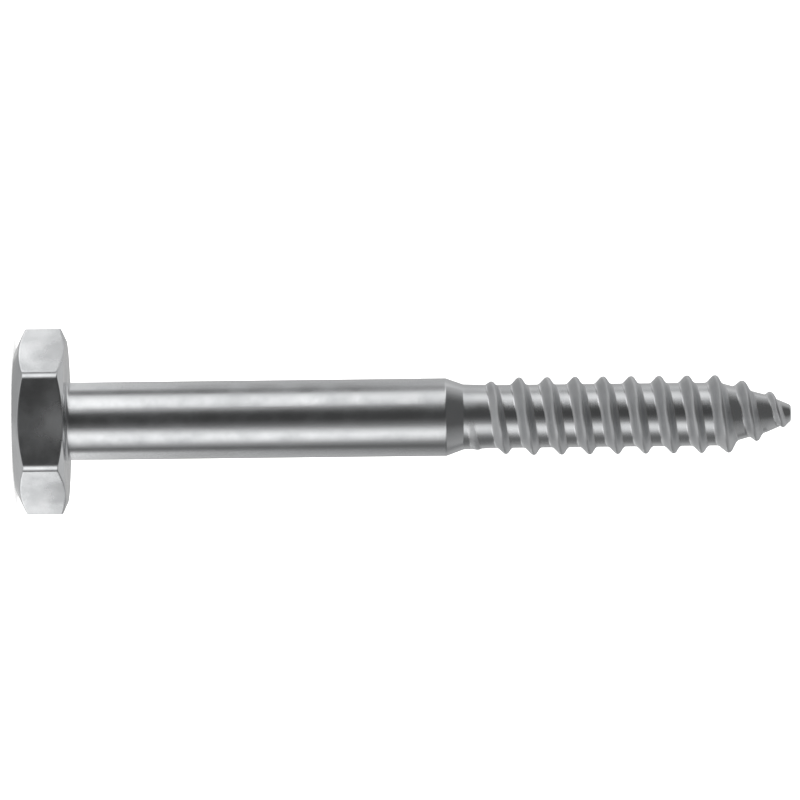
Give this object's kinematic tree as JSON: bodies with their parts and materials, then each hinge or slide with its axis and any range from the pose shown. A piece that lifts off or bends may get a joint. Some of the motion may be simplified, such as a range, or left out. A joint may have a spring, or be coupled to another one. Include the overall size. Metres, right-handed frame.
{
  "type": "lag screw",
  "caption": "Hexagon-head lag screw with a plain shank, a tapered neck, a coarse right-hand wood thread and a blunt rounded point.",
  "frame": {"origin": "centre of the head's outer face, which is also the middle of the underside of the bounding box", "axes": "+Z along the screw from the head to the point, +Y square to two flats of the head. It stands on its head, because lying down it would rock and roll on one flat and a crest."},
  "size_m": [0.019, 0.0168, 0.0796],
  "materials": {
    "zinc_plated_steel": "bright zinc plate over a forged head and a rolled thread"
  },
  "bodies": {
    "root": {"lag_screw": "zinc_plated_steel"}
  },
  "joints": []
}
